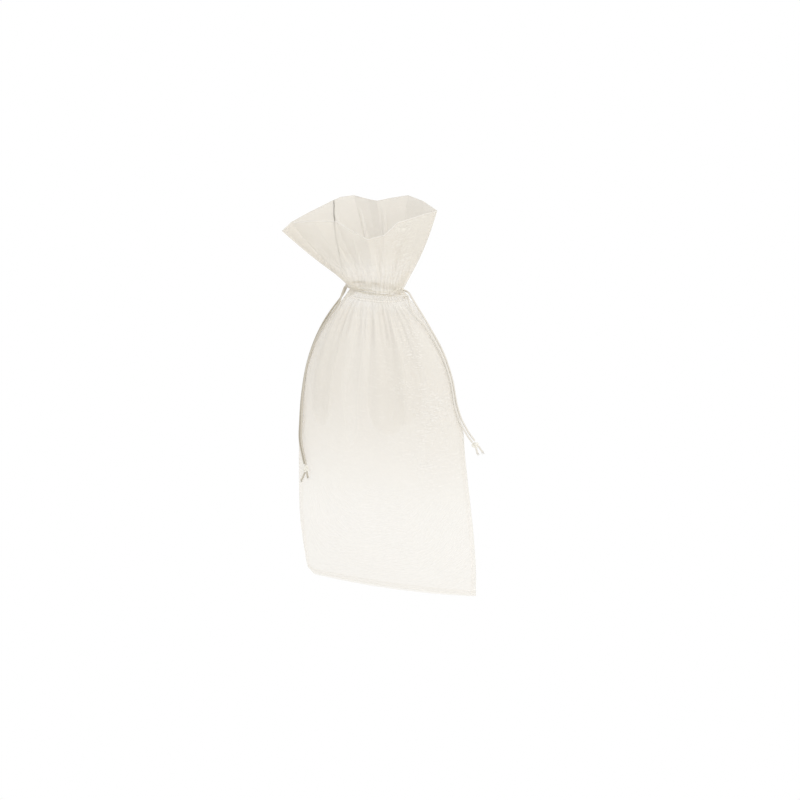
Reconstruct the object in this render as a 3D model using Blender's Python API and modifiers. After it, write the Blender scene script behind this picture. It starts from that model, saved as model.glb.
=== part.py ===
"""Drawstring gift pouch: a tall organza bag, drawn shut at its neck by two cords, with a ruffle above.

Metres, +Z up. The origin is the middle of the cord channel at the neck, X runs across the width and the
front panel faces -Y. Each cloth layer is a thin shell on one common envelope. The front and back panels
run from the bottom seam to the rim, and two facings line the ruffle and close the channel on its inside.
Both cords run all round the channel, one above the other. The left cord's ends leave it on the left and
the right cord's on the right, and each pair of ends hangs down the pouch to a knot.
"""

import math

import bmesh
import bpy
import numpy as np

# Cloth
PANEL_WALL = 0.0008
FACING_WALL = 0.0006
SEAM_WALL = 0.0014  # four layers of cloth
SEAM_ALLOWANCE = 0.0042
EDGE_Y = 0.0019  # how far a panel's side edges stay from the seam between them
RIM_LEVEL = 0.0665
BOTTOM_LEVEL = -0.281
BOTTOM_SEAM_LOW, BOTTOM_SEAM_HIGH = -0.284, -0.2768
SIDE_SEAM_LOW = -0.2764
COLUMNS = 22

# Channel
STITCH_LEVEL = 0.0052  # each row of stitches lies this far above or below the channel's middle
MOUTH_HALF_HEIGHT = 0.0034
MOUTH_COLUMNS = 5  # columns left open at each side of a panel, where the cords come out
THREAD_RADIUS = 0.0002

# Cords
CORD_RADIUS = 0.0008
CORD_SPACING = 0.006  # between a tube's points
CORD_LEVEL = 0.0013  # the left cord runs this far above the channel's middle, the right one below
CORD_INSET = 0.0026  # from the envelope to the cord's middle
TUCK_INNER_X, TUCK_OUTER_X, PIVOT_X = 0.0120, 0.0244, 0.0250
JOIN_GAP = 0.0003

# Envelope, rim first: level, half-width, half-depth, squareness, shift along X and Y, turn in degrees, bow.
# A squareness of 2 is an ellipse. The bow is how far the middle of the width stands forward of its sides.
STATIONS = np.array(
    (
        (0.0665, 0.0600, 0.0330, 2.0, -0.0120, -0.0080, 14.0, 0.0),
        (0.0450, 0.0490, 0.0262, 2.1, -0.0080, -0.0050, 10.0, 0.0),
        (0.0250, 0.0355, 0.0182, 2.5, -0.0045, -0.0025, 5.5, 0.0),
        (0.0100, 0.0255, 0.0118, 3.4, -0.0015, -0.0006, 2.0, 0.0),
        (0.0000, 0.0220, 0.0100, 4.0, 0.0000, 0.0000, 0.0, 0.0),
        (-0.0100, 0.0272, 0.0116, 3.4, 0.0000, 0.0000, 0.0, 0.0),
        (-0.0230, 0.0365, 0.0145, 2.8, 0.0000, 0.0000, 0.0, 0.0),
        (-0.0470, 0.0486, 0.0180, 2.3, 0.0011, 0.0000, 0.0, 0.0),
        (-0.0730, 0.0578, 0.0200, 2.1, 0.0013, 0.0000, 0.0, 0.0),
        (-0.1000, 0.0634, 0.0200, 2.0, 0.0022, 0.0000, 0.0, 0.0),
        (-0.1200, 0.0684, 0.0195, 2.0, 0.0031, 0.0000, 0.0, 0.0),
        (-0.1430, 0.0720, 0.0175, 2.0, 0.0028, 0.0000, 0.0, 0.0),
        (-0.1820, 0.0752, 0.0140, 2.0, 0.0042, 0.0000, 0.0, 0.0015),
        (-0.2290, 0.0780, 0.0095, 2.0, 0.0068, 0.0000, 0.0, 0.0038),
        (-0.2620, 0.0776, 0.0055, 2.0, 0.0094, 0.0000, 0.0, 0.0052),
        (-0.2840, 0.0764, 0.0022, 2.0, 0.0109, 0.0000, 0.0, 0.0058),
    )
)[::-1]
LEFT_RIM_DROP = 0.0095  # the rim stands this much lower at its left tip, and higher at its right tip
TIP_DROP = 0.0020

# Rows of the cloth, bottom first
BODY_LEVELS = (-0.281, -0.262, -0.240, -0.212, -0.182, -0.155, -0.127, -0.100, -0.076, -0.056)
NECK_LEVELS = (-0.039, -0.026, -0.016, -0.0085, -0.0034, 0.0034, 0.0085, 0.016)
RUFFLE_LEVELS = (0.027, 0.040, 0.053, 0.0665)
FACING_LEVELS = (-0.008, -0.0034, 0.0034, 0.0085, 0.0150)
FACING_INSETS = (0.0034, 0.0045, 0.0045, 0.0032, 0.0014)

# Cord routes from pivot to knot, in metres
LEFT_FRONT_ROUTE = (
    (-0.0250, -0.0074, 0.0013),
    (-0.0285, -0.0066, -0.0030),
    (-0.0322, -0.0052, -0.0110),
    (-0.0402, -0.0036, -0.0250),
    (-0.0503, -0.0029, -0.0470),
    (-0.0592, -0.0027, -0.0730),
    (-0.0638, -0.0033, -0.1000),
    (-0.0645, -0.0082, -0.1260),
    (-0.0650, -0.0091, -0.1440),
    (-0.0628, -0.0099, -0.1575),
    (-0.0611, -0.0105, -0.1658),
)
LEFT_BACK_ROUTE = (
    (-0.0250, 0.0074, 0.0013),
    (-0.0290, 0.0064, -0.0022),
    (-0.0335, 0.0044, -0.0100),
    (-0.0413, 0.0014, -0.0240),
    (-0.0514, 0.0001, -0.0465),
    (-0.0601, -0.0001, -0.0725),
    (-0.0652, -0.0009, -0.0995),
    (-0.0669, -0.0050, -0.1265),
    (-0.0669, -0.0079, -0.1450),
    (-0.0646, -0.0089, -0.1580),
    (-0.0629, -0.0094, -0.1659),
)
RIGHT_FRONT_ROUTE = (
    (0.0250, -0.0074, -0.0013),
    (0.0290, -0.0067, -0.0050),
    (0.0340, -0.0053, -0.0125),
    (0.0412, -0.0041, -0.0245),
    (0.0525, -0.0032, -0.0468),
    (0.0620, -0.0030, -0.0734),
    (0.0667, -0.0034, -0.0985),
    (0.0699, -0.0036, -0.1083),
    (0.0746, -0.0030, -0.1184),
    (0.0792, -0.0018, -0.1269),
    (0.0810, -0.0015, -0.1294),
)
RIGHT_BACK_ROUTE = (
    (0.0250, 0.0074, -0.0013),
    (0.0300, 0.0058, -0.0055),
    (0.0355, 0.0032, -0.0135),
    (0.0426, 0.0006, -0.0250),
    (0.0540, 0.0001, -0.0462),
    (0.0634, 0.0003, -0.0728),
    (0.0683, 0.0001, -0.0975),
    (0.0714, -0.0008, -0.1070),
    (0.0759, -0.0006, -0.1168),
    (0.0804, 0.0003, -0.1252),
    (0.0826, 0.0006, -0.1287),
)
LEFT_KNOT_AT, RIGHT_KNOT_AT = (-0.0609, -0.0115, -0.1696), (0.0836, -0.0008, -0.1323)
KNOT_HALF = (0.0025, 0.0023, 0.0031)  # half its width, depth and height
LEFT_TAILS = (
    ((-0.0621, -0.0112, -0.1732), (-0.0638, -0.0108, -0.1780), (-0.0659, -0.0100, -0.1826)),
    ((-0.0601, -0.0118, -0.1733), (-0.0599, -0.0118, -0.1752), (-0.0595, -0.0117, -0.1772)),
)
RIGHT_TAILS = (
    ((0.0846, -0.0011, -0.1360), (0.0852, -0.0013, -0.1377), (0.0857, -0.0014, -0.1396)),
    ((0.0863, 0.0003, -0.1340), (0.0878, 0.0004, -0.1362), (0.0896, 0.0004, -0.1386)),
)

FRONT, BACK = -1, 1
LEFT, RIGHT = -1, 1


def clear_scene():
    for thing in list(bpy.data.objects):
        bpy.data.objects.remove(thing, do_unlink=True)


def material(name, colour, roughness, alpha=1.0):
    """A Principled material, reused if it has been made already."""
    found = bpy.data.materials.get(name)
    if found:
        return found
    made = bpy.data.materials.new(name)
    made.use_nodes = True
    shader = made.node_tree.nodes["Principled BSDF"]
    shader.inputs["Base Color"].default_value = (*colour, 1.0)
    shader.inputs["Roughness"].default_value = roughness
    shader.inputs["Metallic"].default_value = 0.0
    shader.inputs["Alpha"].default_value = alpha
    return made


def organza():
    return material("ivory_organza", (0.90, 0.87, 0.80), 0.55, 0.55)


def seam_cloth():
    return material("ivory_seam", (0.88, 0.84, 0.76), 0.60)


def thread():
    return material("ivory_thread", (0.86, 0.82, 0.74), 0.70)


def cord_satin():
    return material("ivory_cord", (0.84, 0.80, 0.72), 0.45)


def add(name, data, finish, collection):
    """One object with its material, in the pouch's collection."""
    data.materials.append(finish)
    made = bpy.data.objects.new(name, data)
    collection.objects.link(made)
    return made


def smooth_through(at, knots, values):
    """A cubic through the values at rising knots, with each slope taken from its two neighbours."""
    slopes = np.gradient(values, knots, axis=0)
    k = np.clip(np.searchsorted(knots, at) - 1, 0, len(knots) - 2)
    span = knots[k + 1] - knots[k]
    t = (at - knots[k]) / span
    return (
        (2 * t**3 - 3 * t**2 + 1) * values[k]
        + (t**3 - 2 * t**2 + t) * span * slopes[k]
        + (3 * t**2 - 2 * t**3) * values[k + 1]
        + (t**3 - t**2) * span * slopes[k + 1]
    )


def evenly(points, count):
    """The given number of points at equal steps along a polyline."""
    steps = np.linalg.norm(np.diff(points, axis=0), axis=1)
    along = np.concatenate(([0.0], np.cumsum(steps)))
    wanted = np.linspace(0.0, along[-1], count)
    return np.column_stack([np.interp(wanted, along, points[:, axis]) for axis in range(3)])


def placed(x, y, level, station):
    """A ring's own X and Y turned and shifted into place, at the height that its level has there."""
    half_width, _, _, shift_x, shift_y, turn, bow = station
    y = y - bow * (1 - np.clip(np.abs(x) / half_width, 0, 1) ** 2)
    across = x / half_width
    rise = RIM_LEVEL + LEFT_RIM_DROP * across - TIP_DROP * across**2
    z = level * (rise / RIM_LEVEL if level > 0 else 1.0)
    c, s = math.cos(math.radians(turn)), math.sin(math.radians(turn))
    return np.column_stack((shift_x + c * x - s * y, shift_y + s * x + c * y, np.broadcast_to(z, np.shape(x))))


def half_ring(level, side, inset=0.0, edge=EDGE_Y, samples=241):
    """One side's half of the envelope at a level, left to right: a half superellipse, pushed in by inset."""
    station = smooth_through(level, STATIONS[:, 0], STATIONS[:, 1:])
    half_width, half_depth, squareness = station[:3]
    t = np.linspace(0.0, math.pi, samples)
    power = 2.0 / squareness
    x = -np.sign(np.cos(t)) * np.abs(np.cos(t)) ** power * (half_width - inset)
    y = side * (edge + (half_depth - inset - edge) * np.abs(np.sin(t)) ** power)
    return placed(x, y, level, station)


def side_point(level, side, inset=0.0):
    """The envelope's outermost point on the left or right, moved in along the ring's own X."""
    station = smooth_through(level, STATIONS[:, 0], STATIONS[:, 1:])
    x = np.array([side * (station[0] - inset)])
    return placed(x, np.zeros(1), level, station)[0]


def grid_mesh(name, rows, left_out=()):
    """An open sheet through rows of points. left_out holds the (row, column) of each face it leaves open."""
    mesh = bpy.data.meshes.new(name)
    sheet = bmesh.new()
    verts = [[sheet.verts.new(point) for point in row] for row in rows]
    for i in range(len(rows) - 1):
        for j in range(len(rows[0]) - 1):
            if (i, j) not in left_out:
                sheet.faces.new((verts[i][j], verts[i][j + 1], verts[i + 1][j + 1], verts[i + 1][j]))
    loose = [v for v in sheet.verts if not v.link_faces]
    bmesh.ops.delete(sheet, geom=loose, context="VERTS")
    sheet.to_mesh(mesh)
    sheet.free()
    mesh.shade_smooth()
    return mesh


def thicken(made, wall, offset):
    """Gives an open sheet its wall. An offset of -1 grows it inwards and 0 grows it to both sides."""
    solid = made.modifiers.new("wall", "SOLIDIFY")
    solid.thickness = wall
    solid.offset = offset
    solid.use_even_offset = False


def wound(rows, side):
    """Rows run left to right, so the back's are reversed to keep its faces pointing out."""
    return rows if side == FRONT else [row[::-1] for row in rows]


def build_panel(name, side, collection):
    """A panel from the bottom seam to the rim, open at both ends of the channel."""
    levels = BODY_LEVELS + NECK_LEVELS + RUFFLE_LEVELS
    rows = [evenly(half_ring(level, side), COLUMNS + 1) for level in levels]
    mouth_row = levels.index(-MOUTH_HALF_HEIGHT)
    ends = list(range(MOUTH_COLUMNS)) + list(range(COLUMNS - MOUTH_COLUMNS, COLUMNS))
    mesh = grid_mesh(name, wound(rows, side), {(mouth_row, column) for column in ends})
    thicken(add(name, mesh, organza(), collection), PANEL_WALL, -1)


def build_facing(name, side, collection):
    """The cloth turned in at the rim, which lines the ruffle and closes the channel on its inside."""
    levels = FACING_LEVELS + RUFFLE_LEVELS
    insets = np.interp(levels, FACING_LEVELS, FACING_INSETS)
    rows = [evenly(half_ring(level, side, inset), COLUMNS // 2 + 1) for level, inset in zip(levels, insets)]
    rows[-1][:, 2] -= JOIN_GAP
    mesh = grid_mesh(name, wound(rows, side))
    thicken(add(name, mesh, organza(), collection), FACING_WALL, -1)


def build_side_seam(name, side, levels, collection):
    """A seam's turned-in allowance: a ribbon from the side's outermost line inwards."""
    outer = [side_point(level, side) for level in levels]
    inner = [side_point(level, side, SEAM_ALLOWANCE) for level in levels]
    mesh = grid_mesh(name, list(zip(outer, inner)))
    thicken(add(name, mesh, seam_cloth(), collection), SEAM_WALL, 0)


def build_bottom_seam(collection, columns=18):
    """The sewn bottom edge: a ribbon that follows the bow of the pouch."""
    station = smooth_through(BOTTOM_SEAM_LOW, STATIONS[:, 0], STATIONS[:, 1:])
    x = np.linspace(-station[0], station[0], columns + 1)
    rows = [placed(x, np.zeros_like(x), level, station) for level in (BOTTOM_SEAM_LOW, BOTTOM_SEAM_HIGH)]
    mesh = grid_mesh("bottom_seam", rows)
    thicken(add("bottom_seam", mesh, seam_cloth(), collection), SEAM_WALL, 0)


def build_tube(name, points, radius, finish, collection, resolution=2, taper_start=False):
    """A round thread or cord along the points. A tapered start lets it turn on its pivot."""
    curve = bpy.data.curves.new(name, "CURVE")
    curve.dimensions = "3D"
    curve.bevel_depth = radius
    curve.bevel_resolution = resolution
    curve.use_fill_caps = True
    spline = curve.splines.new("POLY")
    spline.points.add(len(points) - 1)
    for spot, point in zip(spline.points, points):
        spot.co = (*point, 1.0)
        spot.radius = 1.0
    if taper_start:
        spline.points[0].radius = 0.35
    spline.use_smooth = True
    add(name, curve, finish, collection)


def along_route(route, spacing):
    """Points at even steps on a smooth curve through a route's own points."""
    route = np.array(route)
    knots = np.concatenate(([0.0], np.cumsum(np.linalg.norm(np.diff(route, axis=0), axis=1))))
    fine = np.array([smooth_through(at, knots, route) for at in np.linspace(0.0, knots[-1], 400)])
    return evenly(fine, max(3, round(knots[-1] / spacing) + 1))


def build_stitches(name, side, level, collection):
    """A row of stitches on the outside of a panel, drawn as its thread."""
    ring = evenly(half_ring(level, side, -(JOIN_GAP + THREAD_RADIUS)), COLUMNS + 1)
    build_tube(name, ring, THREAD_RADIUS, thread(), collection, resolution=0)


def build_loop(name, side, collection):
    """A cord inside the channel: along the front, round the far side of the neck and along the back."""
    level = -side * CORD_LEVEL
    station = smooth_through(0.0, STATIONS[:, 0], STATIONS[:, 1:])
    half_width, half_depth, squareness = station[:3] - np.array((CORD_INSET, CORD_INSET, 0.0))
    t = np.linspace(-math.pi, math.pi, 721)
    power = 2.0 / squareness
    x = -side * np.sign(np.cos(t)) * np.abs(np.cos(t)) ** power * half_width
    y = np.sign(np.sin(t)) * np.abs(np.sin(t)) ** power * half_depth
    kept = -side * x > -(TUCK_INNER_X - JOIN_GAP)
    ring = np.column_stack((x, y, np.full_like(x, level)))[kept]
    build_tube(name, evenly(ring, 21), CORD_RADIUS, cord_satin(), collection)


def build_cord_end(label, side, routes, knot_at, tails, collection):
    """Two tucks inside the channel's mouth, two strands from there to the knot, and two cut tails."""
    for place, face, route in (("front", FRONT, routes[0]), ("back", BACK, routes[1])):
        _, y, z = route[0]
        tuck = [(side * x, y, z) for x in (TUCK_INNER_X, TUCK_OUTER_X)]
        build_tube(f"{label}_tuck_{place}", tuck, CORD_RADIUS, cord_satin(), collection)
        strand = along_route(route, CORD_SPACING)
        strand = np.insert(strand, 1, strand[0] + 0.25 * (strand[1] - strand[0]), axis=0)
        build_tube(f"{label}_strand_{place}", strand, CORD_RADIUS, cord_satin(), collection, taper_start=True)
    for number, tail in enumerate(tails, start=1):
        build_tube(f"{label}_tail_{number}", along_route(tail, 0.003), CORD_RADIUS, cord_satin(), collection)
    build_knot(f"{label}_knot", knot_at, collection)


def build_knot(name, at, collection):
    """An overhand knot drawn tight, as a plain lump of its size."""
    mesh = bpy.data.meshes.new(name)
    lump = bmesh.new()
    bmesh.ops.create_uvsphere(lump, u_segments=12, v_segments=8, radius=1.0)
    bmesh.ops.scale(lump, vec=KNOT_HALF, verts=lump.verts)
    bmesh.ops.translate(lump, vec=at, verts=lump.verts)
    lump.to_mesh(mesh)
    lump.free()
    mesh.shade_smooth()
    add(name, mesh, cord_satin(), collection)


def main():
    clear_scene()
    pouch = bpy.data.collections.new("drawstring_pouch")
    bpy.context.scene.collection.children.link(pouch)
    lower = tuple(level for level in BODY_LEVELS + NECK_LEVELS if SIDE_SEAM_LOW < level < -0.008)
    below = (SIDE_SEAM_LOW,) + lower + (-0.0060,)
    above = (0.0060, 0.0085, 0.016) + RUFFLE_LEVELS
    for place, side in (("front", FRONT), ("back", BACK)):
        build_panel(f"{place}_panel", side, pouch)
        build_facing(f"{place}_facing", side, pouch)
        build_stitches(f"upper_stitches_{place}", side, STITCH_LEVEL, pouch)
        build_stitches(f"lower_stitches_{place}", side, -STITCH_LEVEL, pouch)
    for place, side in (("left", LEFT), ("right", RIGHT)):
        build_side_seam(f"{place}_side_seam", side, below, pouch)
        build_side_seam(f"{place}_ruffle_seam", side, above, pouch)
        build_loop(f"{place}_drawstring_loop", side, pouch)
    build_bottom_seam(pouch)
    left_routes = (LEFT_FRONT_ROUTE, LEFT_BACK_ROUTE)
    right_routes = (RIGHT_FRONT_ROUTE, RIGHT_BACK_ROUTE)
    build_cord_end("left", LEFT, left_routes, LEFT_KNOT_AT, LEFT_TAILS, pouch)
    build_cord_end("right", RIGHT, right_routes, RIGHT_KNOT_AT, RIGHT_TAILS, pouch)


main()
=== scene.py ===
"""Looks of the drawstring gift pouch: sheer gathered cloth, its seams and stitches, and two satin cords."""

import logging
import math
from dataclasses import dataclass, field
from enum import Enum
from functools import cache

import bpy
import numpy as np
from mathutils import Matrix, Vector


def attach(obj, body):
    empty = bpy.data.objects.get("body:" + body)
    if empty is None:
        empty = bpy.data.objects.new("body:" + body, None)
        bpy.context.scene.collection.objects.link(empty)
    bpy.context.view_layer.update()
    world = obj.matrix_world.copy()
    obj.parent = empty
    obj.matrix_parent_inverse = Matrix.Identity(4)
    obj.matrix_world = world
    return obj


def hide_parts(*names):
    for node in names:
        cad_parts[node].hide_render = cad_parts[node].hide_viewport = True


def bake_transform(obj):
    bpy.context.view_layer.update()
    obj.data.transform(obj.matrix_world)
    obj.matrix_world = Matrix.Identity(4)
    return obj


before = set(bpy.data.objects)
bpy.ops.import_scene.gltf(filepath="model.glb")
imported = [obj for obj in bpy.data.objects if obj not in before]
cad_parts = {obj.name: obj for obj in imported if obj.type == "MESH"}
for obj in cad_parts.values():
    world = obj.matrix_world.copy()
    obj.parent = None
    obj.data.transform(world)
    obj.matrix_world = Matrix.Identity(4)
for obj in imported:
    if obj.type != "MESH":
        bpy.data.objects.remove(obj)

LOG = logging.getLogger("pouch")
Array = np.ndarray
Piece, Material = bpy.types.Object, bpy.types.Material
Tree, Socket = bpy.types.NodeTree, bpy.types.NodeSocket
MM = 0.001

CLOTH_WIDTH = 0.160  # flat width of a panel between its side seams
FACING_GAP = 0.00035  # between the two layers of the ruffle
CORD_ROOM = 0.0026  # between the two layers at the cords
THREAD_LIFT = 0.00025  # how far a thread lies off the cloth
THREAD_RADIUS = 0.00012
RIM_FOLD_RADIUS = 0.00022
# radius of the dark line that is painted as the shadow of a sharp crease
CREASE_SHADOW_RADIUS = 0.00030
RIM_LEVEL = 0.0665
BOTTOM_LEVEL = -0.2838
SAMPLES = 1200  # steps across a panel while its folds are worked out
STEP = 4  # every how many of them is kept in the mesh
NECK_HALF_WIDTH = 0.0205
NECK_HALF_DEPTH = 0.0100
NECK_SOFTNESS = 0.05  # how far the outline's corners are rounded, as a share of its length
RIM_SOFTNESS = 0.004
TURN = 2 * math.pi
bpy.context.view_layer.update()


class Side(Enum):
    """The two panels of the pouch."""

    FRONT = -1
    BACK = 1


class Hand(Enum):
    """Which side of the pouch a cord hangs on."""

    LEFT = -1
    RIGHT = 1


# ---------------------------------------------------------------- curves and grids


def smoothstep(low: float, high: float, x: Array) -> Array:
    """0 below low, 1 above high, and the cubic 3t^2 - 2t^3 in between.

    Args:
        low, high: where it leaves 0 and reaches 1.
        x: where to read it.
    Returns:
        A share for each x.
    """
    t = np.clip((np.asarray(x, float) - low) / (high - low), 0.0, 1.0)
    return t * t * (3.0 - 2.0 * t)


def through(at: Array, knots: Array, values: Array) -> Array:
    """Reads a smooth curve: a cubic Hermite through the values, each slope taken from its neighbours.

    Args:
        at: where to read it, any shape.
        knots: rising places of the values.
        values: one row for each knot.
    Returns:
        One row of values for each place in at.
    """
    slopes = np.gradient(values, knots, axis=0)
    k = np.clip(np.searchsorted(knots, at) - 1, 0, len(knots) - 2)
    span = (knots[k + 1] - knots[k])[..., None]
    t = (np.asarray(at)[..., None] - knots[k][..., None]) / span
    return (
        (2 * t**3 - 3 * t**2 + 1) * values[k]
        + (t**3 - 2 * t**2 + t) * span * slopes[k]
        + (3 * t**2 - 2 * t**3) * values[k + 1]
        + (t**3 - t**2) * span * slopes[k + 1]
    )


def lengths_along(points: Array) -> Array:
    """Distance travelled at each point of a polyline, from 0.

    Args:
        points: (n, dimensions) points.
    Returns:
        (n,) distances.
    """
    return np.concatenate(([0.0], np.cumsum(np.linalg.norm(np.diff(points, axis=0), axis=1))))


def evenly(points: Array, count: int) -> Array:
    """The given number of points at equal distances along a polyline.

    Args:
        points: (n, dimensions) points of the polyline.
        count: how many points to return.
    Returns:
        (count, dimensions) points.
    """
    along = lengths_along(points)
    wanted = np.linspace(0.0, along[-1], count)
    return np.column_stack([np.interp(wanted, along, points[:, axis]) for axis in range(points.shape[1])])


def route_curve(route: Array, count: int) -> Array:
    """A smooth curve through a route's own points, read at equal distances.

    Args:
        route: (n, 3) points that the curve passes through.
        count: how many points to return.
    Returns:
        (count, 3) points.
    """
    route = np.asarray(route, float)
    knots = lengths_along(route)
    return evenly(through(np.linspace(0.0, knots[-1], 1200), knots, route), count)


def soft_curve(points: Array, softness: float) -> Array:
    """An open outline with its corners slightly rounded, read at equal distances.

    Formula: a moving average over `softness` of its length, with each end mirrored so that it stays put.

    Args:
        points: (n, 3) corners of the outline.
        softness: the share of its length that is averaged.
    Returns:
        (SAMPLES + 1, 3) points.
    """
    line = evenly(np.asarray(points, float), SAMPLES + 1)
    reach = max(1, int(softness * SAMPLES))
    weights = np.hanning(2 * reach + 3)[1:-1]
    weights /= weights.sum()
    padded = np.vstack((2 * line[0] - line[reach:0:-1], line, 2 * line[-1] - line[-2 : -reach - 2 : -1]))
    soft = np.column_stack([np.convolve(padded[:, axis], weights, "valid") for axis in range(3)])
    return evenly(soft, SAMPLES + 1)


def make_mesh(name: str, points: Array, groups: list[Array], uv: Array) -> Piece:
    """Makes one smooth-shaded object from whole arrays.

    Args:
        name: the piece's name.
        points: (n, 3) vertices in metres.
        groups: arrays of faces. A row holds one face's vertex numbers.
        uv: (n, 2) coordinates of each vertex.
    Returns:
        The object, linked to the scene, at the origin.
    """
    loops = np.concatenate([group.ravel() for group in groups]).astype(np.int32)
    sizes = np.concatenate([np.full(len(group), group.shape[1]) for group in groups])
    mesh = bpy.data.meshes.new(name)
    mesh.vertices.add(len(points))
    mesh.vertices.foreach_set("co", np.ascontiguousarray(points, np.float32).ravel())
    mesh.loops.add(len(loops))
    mesh.loops.foreach_set("vertex_index", loops)
    mesh.polygons.add(len(sizes))
    mesh.polygons.foreach_set("loop_start", (np.cumsum(sizes) - sizes).astype(np.int32))
    mesh.update(calc_edges=True)
    mesh.validate()
    layer = mesh.uv_layers.new(name="cloth")
    layer.data.foreach_set("uv", uv[loops].astype(np.float32).ravel())
    mesh.shade_smooth()
    return linked(bpy.data.objects.new(name, mesh))


def linked(made: Piece) -> Piece:
    """Puts an object in the scene."""
    bpy.context.scene.collection.objects.link(made)
    return made


def set_values(made: Piece, **values: Array) -> None:
    """Keeps named numbers for each vertex, which the cloth's finish reads.

    Args:
        made: the piece.
        values: one array for each name, in the order of the vertices.
    """
    for name, value in values.items():
        layer = made.data.attributes.new(name, "FLOAT", "POINT")
        layer.data.foreach_set("value", value.astype(np.float32).ravel())


def grid_faces(rows: int, columns: int, closed: bool = False) -> Array:
    """Quads of a grid of rows x columns points, joined round its columns if it is closed.

    Args:
        rows, columns: how many points the grid has each way.
        closed: whether a row runs all round.
    Returns:
        (faces, 4) vertex numbers.
    """
    i = np.arange(rows - 1)[:, None]
    j = np.arange(columns if closed else columns - 1)[None, :]
    k = (j + 1) % columns
    a, b = i * columns + j, i * columns + k
    c, d = (i + 1) * columns + k, (i + 1) * columns + j
    return np.stack((a, b, c, d), axis=-1).reshape(-1, 4)


def frames_along(path: Array) -> tuple[Array, Array]:
    """Two unit vectors square to a path at each point, which turn as little as they can.

    Formula: the first normal is carried from point to point, less its part along the new tangent.

    Args:
        path: (n, 3) points.
    Returns:
        Two (n, 3) arrays of unit vectors.
    """
    tangent = np.gradient(path, axis=0)
    tangent /= np.linalg.norm(tangent, axis=1, keepdims=True)
    start = np.cross(tangent[0], (0.0, 0.0, 1.0) if abs(tangent[0][2]) < 0.9 else (1.0, 0.0, 0.0))
    normal = np.empty_like(path)
    carried = start / np.linalg.norm(start)
    for k, direction in enumerate(tangent):
        carried = carried - (carried @ direction) * direction
        carried = carried / np.linalg.norm(carried)
        normal[k] = carried
    return normal, np.cross(tangent, normal)


def tube_arrays(path: Array, radius: Array, sides: int, ridges: int = 0, pitch: float = 0.01,
                relief: float = 0.0) -> tuple[Array, Array, Array]:
    """A round cord carried along a path, with its ends drawn together.

    Formula: each ring lies at radius * (1 + relief * cos(ridges * (angle - 2 pi s / pitch))) from the path,
    where s is the distance along it, so the ridges run round it as twisted strands do.

    Args:
        path: (n, 3) points of its middle line.
        radius: one radius, or one for each point.
        sides: how many vertices go round it.
        ridges: how many strands are twisted in it.
        pitch: the length of one turn of the twist.
        relief: height of the ridges, as a share of the radius.
    Returns:
        Vertices, faces and UV (distance along, share of the way round).
    """
    along = lengths_along(path)
    normal, other = frames_along(path)
    angle = np.linspace(0.0, TURN, sides, endpoint=False)
    radius = np.broadcast_to(radius, along.shape)
    twist = 1.0 + relief * np.cos(ridges * (angle[None, :] - TURN * along[:, None] / pitch))
    around = np.cos(angle)[:, None] * normal[:, None] + np.sin(angle)[:, None] * other[:, None]
    rings = path[:, None, :] + (radius[:, None] * twist)[..., None] * around
    faces = grid_faces(len(path), sides, closed=True)
    uv = np.stack(np.broadcast_arrays(along[:, None], angle[None, :] / TURN), axis=-1)
    caps = np.vstack((path[:1], path[-1:]))
    count = len(path) * sides
    j = np.arange(sides)
    k = (j + 1) % sides
    low = np.column_stack((k, j, np.full(sides, count)))
    last = count - sides
    high = np.column_stack((last + j, last + k, np.full(sides, count + 1)))
    points = np.vstack((rings.reshape(-1, 3), caps))
    uv = np.vstack((uv.reshape(-1, 2), [[0.0, 0.0], [along[-1], 0.0]]))
    return points, [faces, low, high], uv


def join_arrays(parts: list[tuple[Array, list[Array], Array]]) -> tuple[Array, list[Array], Array]:
    """Several pieces' arrays as one.

    Args:
        parts: each piece's vertices, face arrays and UV.
    Returns:
        The vertices, face arrays and UV of them all.
    """
    points, uvs, faces, start = [], [], [], 0
    for part_points, part_faces, part_uv in parts:
        points.append(part_points)
        uvs.append(part_uv)
        faces.extend(group + start for group in part_faces)
        start += len(part_points)
    return np.vstack(points), faces, np.vstack(uvs)



# ---------------------------------------------------------------- shader nodes


def feed(tree: Tree, socket: Socket, value: object) -> None:
    """Links an input to another node's output, or gives it a value.

    Args:
        tree: the node tree to build in.
        socket: the input.
        value: a socket, number, vector or colour.
    """
    if isinstance(value, Socket):
        tree.links.new(value, socket)
    else:
        socket.default_value = value


def add_node(tree: Tree, kind: str, feeds: dict | None = None, **settings: object) -> bpy.types.Node:
    """A shader node with its settings and, by name or number, what its inputs are fed with.

    Args:
        tree: the node tree to build in.
        kind: the node's type, without its prefix.
        feeds: a value or socket for each input.
        settings: the node's own properties, which are set first.
    Returns:
        The node.
    """
    node = tree.nodes.new("ShaderNode" + kind)
    for name, value in settings.items():
        setattr(node, name, value)
    for label, value in (feeds or {}).items():
        feed(tree, node.inputs[label], value)
    return node


def calc(tree: Tree, operation: str, *values: object, clamp: bool = False) -> Socket:
    """The result of a Math node.

    Args:
        tree: the node tree to build in.
        operation: what the node works out.
        values: its inputs in order.
        clamp: whether the result is held between 0 and 1.
    Returns:
        The result's socket.
    """
    return add_node(tree, "Math", dict(enumerate(values)), operation=operation, use_clamp=clamp).outputs[0]


def wave(tree: Tree, angle: Socket) -> Socket:
    """0.5 + 0.5 sin(angle)."""
    return calc(tree, "MULTIPLY_ADD", calc(tree, "SINE", angle), 0.5, 0.5)


def noise(tree: Tree, place: Socket, scale: object, **more: float) -> Socket:
    """A noise from 0 to 1, read at a place."""
    return add_node(tree, "TexNoise", {"Vector": place, "Scale": scale, **more}).outputs["Fac"]


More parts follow.
